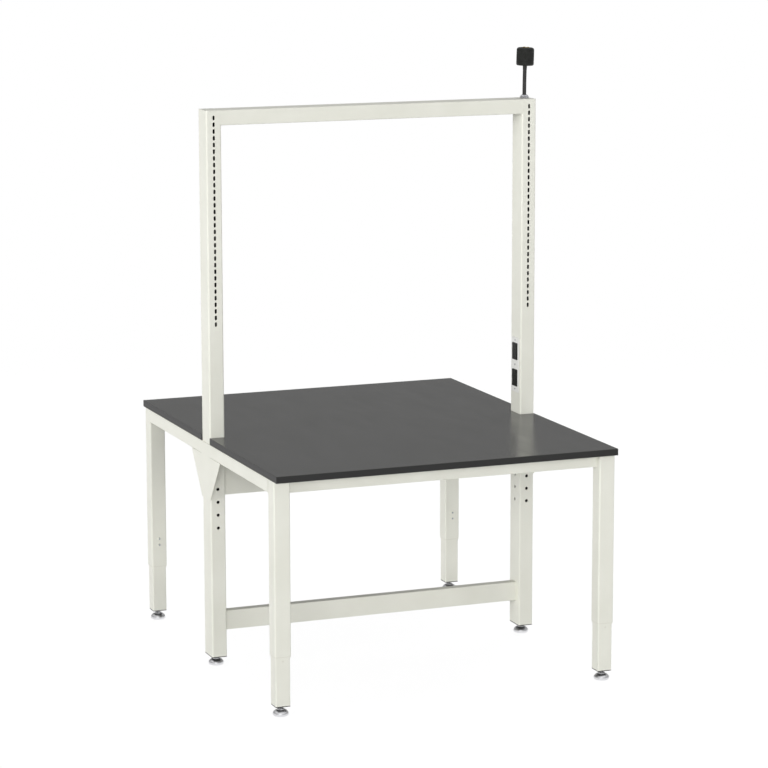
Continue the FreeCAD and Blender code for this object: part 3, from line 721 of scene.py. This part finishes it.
PLUG_RADIUS, PLUG_LENGTH = 34.5, 71
PLUG_RIBS, PLUG_RIB_DEPTH = 48, 0.7
PLUG_RIBS_LOW, PLUG_RIBS_HIGH = 22.5, 53.5
PARTING_RADIUS, RIB_END_RADIUS, WELL_FLOOR = 33.9, 34.4, 67
BOOT_START, BOOT_GROOVES = -17, 4
BLADES, BLADE_INSIDE, BLADE_OUTSIDE, BLADE_HALF_ARC = 4, 11, 13, radians(21)


def plug_shell():
    """Round plug body: soft corners, a parting line, finger ribs, a rim and a well for the blades."""
    r = PLUG_RADIUS
    outline = rounded([(0, 0, 0), (r, 0, 8), (r, 15.5, 0), (PARTING_RADIUS, 15.9, 0),
                       (PARTING_RADIUS, 16.9, 0), (r, 17.3, 0)], 8)
    outline += [(r, 21), (RIB_END_RADIUS, 22)] + [(r, 23 + 3 * k) for k in range(11)]
    outline += [(RIB_END_RADIUS, 54), (r, 55)]
    outline += rounded([(r, 56, 0), (r, PLUG_LENGTH, 12), (21.4, PLUG_LENGTH, 0.5), (20.8, 70.4, 0.4),
                        (19.4, 70.4, 0.5), (19.0, WELL_FLOOR, 0), (0, WELL_FLOOR, 0)], 8)

    def reach(r, z, a):
        ribbed = PLUG_RIBS_LOW < z < PLUG_RIBS_HIGH and r > 34
        return r - PLUG_RIB_DEPTH / 2 * (1 + cos(PLUG_RIBS * a)) if ribbed else r

    work = bmesh.new()
    turn(work, outline, PLUG_RIBS * 4, reach)
    moved(work, facing(CORD_END, CORD_END_DIRECTION))
    return mesh_of(work, "plug_shell", 30)


def strain_relief():
    """Short rubber boot below the plug, hardly thicker than the cord, with fine grooves where it bends."""
    outline = [(7.4, BOOT_START), (7.7, BOOT_START)]
    for k in range(BOOT_GROOVES):
        z, r = -16.6 + 3.0 * k, 7.95 + 0.1 * k
        outline += [(r, z), (r, z + 2.0), (r - 0.25, z + 2.3), (r - 0.25, z + 2.7)]
    outline += [(8.5, -4.0), (9.3, 0.0), (9.3, 0.6), (7.4, 0.6), (7.4, BOOT_START)]
    work = bmesh.new()
    turn(work, outline, 48)
    moved(work, facing(CORD_END, CORD_END_DIRECTION))
    return mesh_of(work, "plug_strain_relief", 30)


def locking_blades():
    """Curved brass blades on a circle, from below the well's floor up to their eased tips."""
    work = bmesh.new()
    steps, middle = 8, (BLADE_INSIDE + BLADE_OUTSIDE) / 2
    for i in range(BLADES):
        turned = Matrix.Rotation(2 * pi * i / BLADES, 3, "Z")
        rings = []
        for z, ease in ((66.5, 0), (72.5, 0), (73, 0.4)):
            angles = [(2 * k / steps - 1) * (BLADE_HALF_ARC - ease / middle) for k in range(steps + 1)]
            outer, inner = BLADE_OUTSIDE - ease, BLADE_INSIDE + ease
            points = [(outer * cos(a), outer * sin(a), z) for a in angles]
            points += [(inner * cos(a), inner * sin(a), z) for a in reversed(angles)]
            rings.append([turned @ Vector(point) * MM for point in points])
        loft(work, rings)
    moved(work, facing(CORD_END, CORD_END_DIRECTION))
    return mesh_of(work, "locking_blades", 30)


plug_body = new_piece("plug_shell", plug_shell(), "upright_frame", [black_nylon],
                      ["plug_body"])
plug_boot = new_piece("plug_strain_relief", strain_relief(), "upright_frame", [rubber])
plug_blades = new_piece("locking_blades", locking_blades(), "upright_frame", [brass],
                        ["plug_blades"])


# Sockets, their cover and its screws.  Local x is to the right, y up and z out of the upright's face.

SOCKET_X = 620.7
COVER_HEIGHT, COVER_THICKNESS = 1104.0, 3
COVER_SIZE, WINDOW_SIZE = (73, 221), (46, 68)
SOCKET_RISE = 53.5  # of each socket above or below the cover's middle
SOCKET_FRAME, SOCKET_OPENING, SOCKET_FLOOR = (45, 67), (39.6, 61.6), (39.9, 61.9)
OUTLET_RISE = 14.94  # of each outlet above or below its socket's middle
OUTLET_RADIUS, OUTLET_REACH = 16.6, 12.8  # round, and cut off above and below
OUTLET_GAP = 0.4
BLADE_SLOT_SHIFT, BLADE_SLOT_RISE, BLADE_SLOT_WIDTH = 6.35, 2.5, 1.9
EARTH_RADIUS, EARTH_DROP = 2.5, 7.2
SCREW_RISES = (-98.75, 0.0, 98.75)


def on_the_upright(height):
    """Placement of local socket shapes on the right upright's inner face."""
    turned = Matrix(((0, 0, -1), (-1, 0, 0), (0, 1, 0))).to_4x4()
    return Matrix.Translation(Vector((SOCKET_X, 0, height)) * MM) @ turned


def twin_socket(height):
    """Twin socket: a raised frame, a sunk floor, and two outlets with slots and an earth hole."""
    opening = rounded_rectangle(*SOCKET_OPENING, 1.6)
    work = plate(rounded_rectangle(*SOCKET_FRAME, 2.5), [opening], 0.2, 6, 0.7)
    outlets = [(0, -OUTLET_RISE), (0, OUTLET_RISE)]
    openings = [circle(OUTLET_RADIUS - OUTLET_GAP, middle, 48, OUTLET_REACH - OUTLET_GAP)
                for middle in outlets]
    join(work, plate(rounded_rectangle(*SOCKET_FLOOR, 1.6), openings, 0.2, 4.4, 0.1))
    for x, y in outlets:
        slots = [rounded_rectangle(BLADE_SLOT_WIDTH, length, 0.3, (x + shift, y + BLADE_SLOT_RISE), 2)
                 for length, shift in ((8.5, -BLADE_SLOT_SHIFT), (7.0, BLADE_SLOT_SHIFT))]
        slots.append(circle(EARTH_RADIUS, (x, y - EARTH_DROP), 20))
        join(work, plate(circle(OUTLET_RADIUS, (x, y), 48, OUTLET_REACH), slots, -9, 5.6, 0.5))
    join(work, plate(rounded_rectangle(39, 61, 1.5), [], -30, -8.5, 0.3))
    moved(work, on_the_upright(height))
    return mesh_of(work, "twin_socket", 30, flat_along=0)


def socket_cover():
    """Cover over both sockets, with a window for each, screw holes and a bevelled edge."""
    windows = [rounded_rectangle(*WINDOW_SIZE, 2.5, (0, y)) for y in (-SOCKET_RISE, SOCKET_RISE)]
    holes = [circle(2.1, (0, y), 20) for y in SCREW_RISES]
    work = plate(rounded_rectangle(*COVER_SIZE, 3, steps=8), windows + holes, 0, COVER_THICKNESS, 0.8)
    moved(work, on_the_upright(COVER_HEIGHT))
    return mesh_of(work, "socket_cover_plate", 30, flat_along=0)


def raised_screw():
    """Slotted raised-head screw that points along +Z, with its seat at z = 0."""
    work = bmesh.new()
    shank = [(0, -6.2), (1.9, -6), (1.9, 0), (3.5, 0), (3.6, 0.3)]
    turn(work, shank + crowned((3.4, 0.7), (0.6, 1.5), 0.25, 5) + [(0, 1.5)], 32)
    blank = put("blank", mesh_of(work, "raised_screw", 30))
    work = bmesh.new()
    length, width, height = 9 * MM, 1.0 * MM, 1.6 * MM
    bmesh.ops.create_cube(work, size=1, matrix=Matrix.Diagonal((length, width, height, 1)))
    bmesh.ops.translate(work, verts=work.verts, vec=(0, 0, height))
    cutter = put("cutter", mesh_of(work, "cutter"))
    cut = blank.modifiers.new("slot", "BOOLEAN")
    cut.operation = "DIFFERENCE"
    cut.solver = "EXACT"
    cut.object = cutter
    mesh = as_built(blank)
    bpy.data.objects.remove(blank)
    bpy.data.objects.remove(cutter)
    return soften(mesh, 30)


def cover_screws():
    """Screws on the cover: one above the sockets, one between them and one below."""
    points = bpy.data.meshes.new("screw_places")
    cover = on_the_upright(COVER_HEIGHT)
    points.from_pydata([cover @ (Vector((0, y, COVER_THICKNESS)) * MM) for y in SCREW_RISES], [], [])
    directions = points.attributes.new("outward", "FLOAT_VECTOR", "POINT")
    for item in directions.data:
        item.vector = (-1, 0, 0)
    screw = put("raised_screw", raised_screw())
    values = {"Fastener": screw, "Seed": 4, "Material": zinc}
    mesh = grown(fastener_tree(values), points, values, "cover_screws")
    bpy.data.objects.remove(screw)
    return soften(mesh, 30)


for name, rise in (("upper", SOCKET_RISE), ("lower", -SOCKET_RISE)):
    new_piece("twin_socket_" + name, twin_socket(COVER_HEIGHT + rise), "upright_frame",
              [black_nylon], ["socket_" + name])
new_piece("socket_cover_plate", socket_cover(), "upright_frame", [white_urea],
          ["socket_cover"])
new_piece("cover_screws", cover_screws(), "upright_frame", replaced=["socket_cover_screws"])


# Nylon plugs in the lowest index holes, flush with the legs so that the sleeves pass over them

HOLE_PLUG_HEIGHT = 211.0 * MM
HOLE_PLUG_RADIUS, HOLE_PLUG_DEPTH = 3.95, 2.2


def hole_plug(node, end):
    """Round plug with a shallow ring groove, just below the leg's outward face."""
    work = bmesh.new()
    outline = [(0, -HOLE_PLUG_DEPTH), (HOLE_PLUG_RADIUS, -HOLE_PLUG_DEPTH)]
    outline += rounded([(HOLE_PLUG_RADIUS, -2.0, 0), (HOLE_PLUG_RADIUS, -0.15, 0.4), (2.6, -0.12, 0),
                        (2.5, -0.45, 0), (2.1, -0.45, 0), (2.0, -0.12, 0), (0, -0.1, 0)])
    turn(work, outline, 32)
    low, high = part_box(node)
    face = low.y if end < 0 else high.y
    moved(work, facing(Vector(((low.x + high.x) / 2, face, HOLE_PLUG_HEIGHT)), Vector((0, end, 0))))
    return mesh_of(work, "hole_plug", 30)


for corner in CORNERS:
    leg = "inner_leg_" + corner
    new_piece("hole_plug_" + corner, hole_plug(leg, -1 if corner.startswith("front") else 1),
              leg, [natural_nylon])


# Weld beads

WELD = {"Radius": 2.2 * MM, "Ripple": 0.22, "Pitch": 3.0 * MM, "Step": 1.0 * MM, "Material": ivory}
weld_bead = bead_tree(WELD)
GROUND_WELD_WIDTH, GROUND_WELD_SHIFT = 6.4, 3.1


def welds(name, body, paths):
    """Beads along several paths, given as lists of points with a mark for a closed one."""
    points, edges = [], []
    for path, closed in paths:
        first = len(points)
        points += path
        edges += [(first + i, first + i + 1) for i in range(len(path) - 1)]
        if closed:
            edges.append((first + len(path) - 1, first))
    lines = bpy.data.meshes.new("lines")
    lines.from_pydata(points, edges, [])
    new_piece(name, soften(grown(weld_bead, lines, WELD, name), 40), body)


def frame_weld_paths():
    """Round the stretcher's ends, and under the top rail's ends."""
    low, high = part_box("stretcher")
    middle = centre_of("stretcher")
    outline = rounded_rectangle((high.y - low.y) / MM, (high.z - low.z) / MM, 3, steps=3)
    paths = [([Vector((x, middle.y + u * MM, middle.z + v * MM)) for u, v in outline], True)
             for x in (low.x, high.x)]
    low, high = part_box("top_rail")
    inset = 4 * MM
    paths += [([Vector((x, low.y + inset, low.z)), Vector((x, high.y - inset, low.z))], False)
              for x in (low.x, high.x)]
    return paths


def table_weld_paths():
    """Round the centre beam's ends, at the front and rear rails' ends on their outward and lower sides,
    and at the side rails' ends on their inward and lower sides."""
    inset = 3 * MM
    low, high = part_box("centre_beam")
    paths = [([Vector((x, low.y, high.z - inset)), Vector((x, low.y, low.z)), Vector((x, high.y, low.z)),
               Vector((x, high.y, high.z - inset))], False) for x in (low.x, high.x)]
    for rail in ("front_rail", "rear_rail"):
        low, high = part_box(rail)
        outer, inner = (low.y, high.y) if rail == "front_rail" else (high.y, low.y)
        paths += [([Vector((x, outer, high.z - inset)), Vector((x, outer, low.z)),
                    Vector((x, inner, low.z))], False) for x in (low.x, high.x)]
    for corner in CORNERS:
        low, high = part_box("side_rail_" + corner)
        inner, outer = (high.x, low.x) if corner.endswith("left") else (low.x, high.x)
        paths += [([Vector((inner, y, high.z - inset)), Vector((inner, y, low.z)),
                    Vector((outer, y, low.z))], False) for y in (low.y, high.y)]
    return paths


def ground_welds():
    """Welds at the top rail's ends, ground flush, so that rail and uprights run into each other."""
    low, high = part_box("top_rail")
    outline = rounded_rectangle(GROUND_WELD_WIDTH, (high.z - low.z) / MM - 2.1, 1.0)
    middle = (low.z + high.z) / 2 + 1 * MM
    work = bmesh.new()
    for x, side in ((low.x, -1), (high.x, 1)):
        for y, outward in ((low.y, Vector((0, -1, 0))), (high.y, Vector((0, 1, 0)))):
            fill = plate(outline, [], -5, -0.05, 0.3)
            moved(fill, facing(Vector((x + side * GROUND_WELD_SHIFT * MM, y, middle)), outward))
            join(work, fill)
    return mesh_of(work, "ground_welds", 30)


new_piece("ground_welds", ground_welds(), "upright_frame", [ivory])
welds("frame_welds", "upright_frame", frame_weld_paths())
welds("table_welds", "table", table_weld_paths())


# Floor, backdrop and light

FLOOR_RADIUS = 90
SHADOW_FULL, SHADOW_GONE = 2.5, 7.0  # the shadow on the floor fades out between these distances
SHADOW_SHARE, BALANCE = 0.12, 0.065  # the balance makes up for what the shaded floor takes from the white
SCREENS_RADIUS = 24
PANEL_DIRECTION = (-0.45, -0.89, 0.0)
PANEL_EDGE, PANEL_CORE = 21.8, 23.2  # distances along that direction where the panel starts and is full


def seen_share(tree):
    """1 for rays that end in the eye, also through gloss or glass, and 0 for rays that give light."""
    path = add(tree, "ShaderNodeLightPath").outputs
    seen = add(tree, "ShaderNodeMath", {0: path["Is Camera Ray"], 1: path["Is Glossy Ray"]},
               operation="MAXIMUM")
    return add(tree, "ShaderNodeMath", {0: seen.outputs[0], 1: path["Is Transmission Ray"]},
               operation="MAXIMUM").outputs[0]


def studio_floor():
    """Pale floor for the light.  The eye sees through it to the white surroundings, apart from the soft
    shadow on it, so that a foot screwed out below floor level stays in sight."""
    work = bmesh.new()
    bmesh.ops.create_circle(work, cap_ends=True, segments=96, radius=FLOOR_RADIUS)
    floor = put("floor", filled(work, "floor"))
    material, tree, place = start_material("studio_floor")
    floor.data.materials.append(material)
    distance = add(tree, "ShaderNodeVectorMath", {0: place}, operation="LENGTH").outputs["Value"]
    shadow_share, balance = [add(tree, "ShaderNodeMapRange", {
        "Value": distance, "From Min": SHADOW_FULL, "From Max": SHADOW_GONE, "To Min": near,
        "To Max": 0.0}).outputs[0] for near in (SHADOW_SHARE, BALANCE)]
    white = add(tree, "ShaderNodeEmission", {"Color": (1, 1, 1, 1), "Strength": balance})
    clear = add(tree, "ShaderNodeBsdfTransparent")
    shaded = add(tree, "ShaderNodeBsdfDiffuse", {"Color": colour("FDFDFD")})
    lit = add(tree, "ShaderNodeBsdfDiffuse", {"Color": colour("ECECEC")})
    eye = add(tree, "ShaderNodeMixShader", {0: shadow_share, 1: clear.outputs[0], 2: shaded.outputs[0]})
    eye = add(tree, "ShaderNodeAddShader", {0: eye.outputs[0], 1: white.outputs[0]})
    both = add(tree, "ShaderNodeMixShader", {0: seen_share(tree), 1: lit.outputs[0], 2: eye.outputs[0]})
    add(tree, "ShaderNodeOutputMaterial", {"Surface": both.outputs[0]})


def grey_screens():
    """Screens around the studio that only gloss shows: grey and darkest below, with one white panel."""
    work = bmesh.new()
    bmesh.ops.create_cone(work, cap_ends=False, segments=96, radius1=SCREENS_RADIUS, radius2=SCREENS_RADIUS,
                          depth=SCREENS_RADIUS)
    bmesh.ops.translate(work, verts=work.verts, vec=(0, 0, SCREENS_RADIUS / 2))
    screens = put("grey_screens", filled(work, "grey_screens"))
    for rays in ("camera", "diffuse", "transmission", "shadow", "volume_scatter"):
        setattr(screens, "visible_" + rays, False)
    material, tree, place = start_material("grey_screens")
    screens.data.materials.append(material)
    height = add(tree, "ShaderNodeSeparateXYZ", {0: place}).outputs["Z"]
    shade = add(tree, "ShaderNodeMapRange", {
        "Value": height, "From Min": 9.0, "From Max": 24.0, "To Min": 0.32, "To Max": 1.0},
        interpolation_type="SMOOTHSTEP")
    along = add(tree, "ShaderNodeVectorMath", {0: place, 1: PANEL_DIRECTION}, operation="DOT_PRODUCT")
    panel = add(tree, "ShaderNodeMapRange", {
        "Value": along.outputs["Value"], "From Min": PANEL_EDGE, "From Max": PANEL_CORE, "To Min": 0.0,
        "To Max": 1.6}, interpolation_type="SMOOTHSTEP")
    bright = add(tree, "ShaderNodeMath", {0: shade.outputs[0], 1: panel.outputs[0]}, operation="MAXIMUM")
    glow = add(tree, "ShaderNodeEmission", {"Strength": bright.outputs[0]})
    add(tree, "ShaderNodeOutputMaterial", {"Surface": glow.outputs[0]})


def surroundings():
    """White surroundings, dimmer as light than to the eye."""
    world = bpy.data.worlds.new("studio")
    world.use_nodes = True
    scene.world = world
    tree = world.node_tree
    tree.nodes.clear()
    ambient = add(tree, "ShaderNodeBackground", {"Color": (1, 1, 1, 1), "Strength": 0.24})
    backdrop = add(tree, "ShaderNodeBackground", {"Color": (1, 1, 1, 1), "Strength": 1.0})
    both = add(tree, "ShaderNodeMixShader", {0: seen_share(tree), 1: ambient.outputs[0],
                                             2: backdrop.outputs[0]})
    add(tree, "ShaderNodeOutputWorld", {"Surface": both.outputs[0]})


def lamp(name, kind, place, target, energy, **settings):
    """Lamp at a place, turned towards a target; a sun's place gives its direction alone."""
    light = bpy.data.lights.new(name, kind)
    light.energy = energy
    for setting, value in settings.items():
        setattr(light, setting, value)
    holder = put(name, light)
    holder.location = place
    holder.rotation_euler = (Vector(place) - Vector(target)).to_track_quat("Z", "Y").to_euler()
    holder.visible_glossy = False


def studio_light():
    """Five broad suns from in front, from the left, from above and from behind, and a wide soft spot that
    lights the left side above the worktop."""
    origin = (0, 0, 0)
    lamp("front_fill", "SUN", (-0.40, -0.88, 0.25), origin, 0.72, angle=radians(18))
    lamp("front_low", "SUN", (0.15, -0.97, 0.12), origin, 1.00, angle=radians(25))
    lamp("side_key", "SUN", (-0.97, -0.20, 0.14), origin, 0.98, angle=radians(20))
    lamp("overhead", "SUN", (0.1, 0.2, 0.97), origin, 0.7, angle=radians(90))
    lamp("rear_fill", "SUN", (0.75, 0.55, 0.25), origin, 0.9, angle=radians(30))
    lamp("upper_side_key", "SPOT", (-20.0, -5.0, 4.0), (0, 0, 2.6), 11500,
         spot_size=radians(16), spot_blend=1.0, shadow_soft_size=3.0)


scene.view_settings.view_transform = "Standard"
studio_floor()
grey_screens()
surroundings()
studio_light()

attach(supply_flex, "upright_frame")
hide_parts("supply_cord")
supply_flex.data.materials.append(rubber)

bpy.context.view_layer.update()
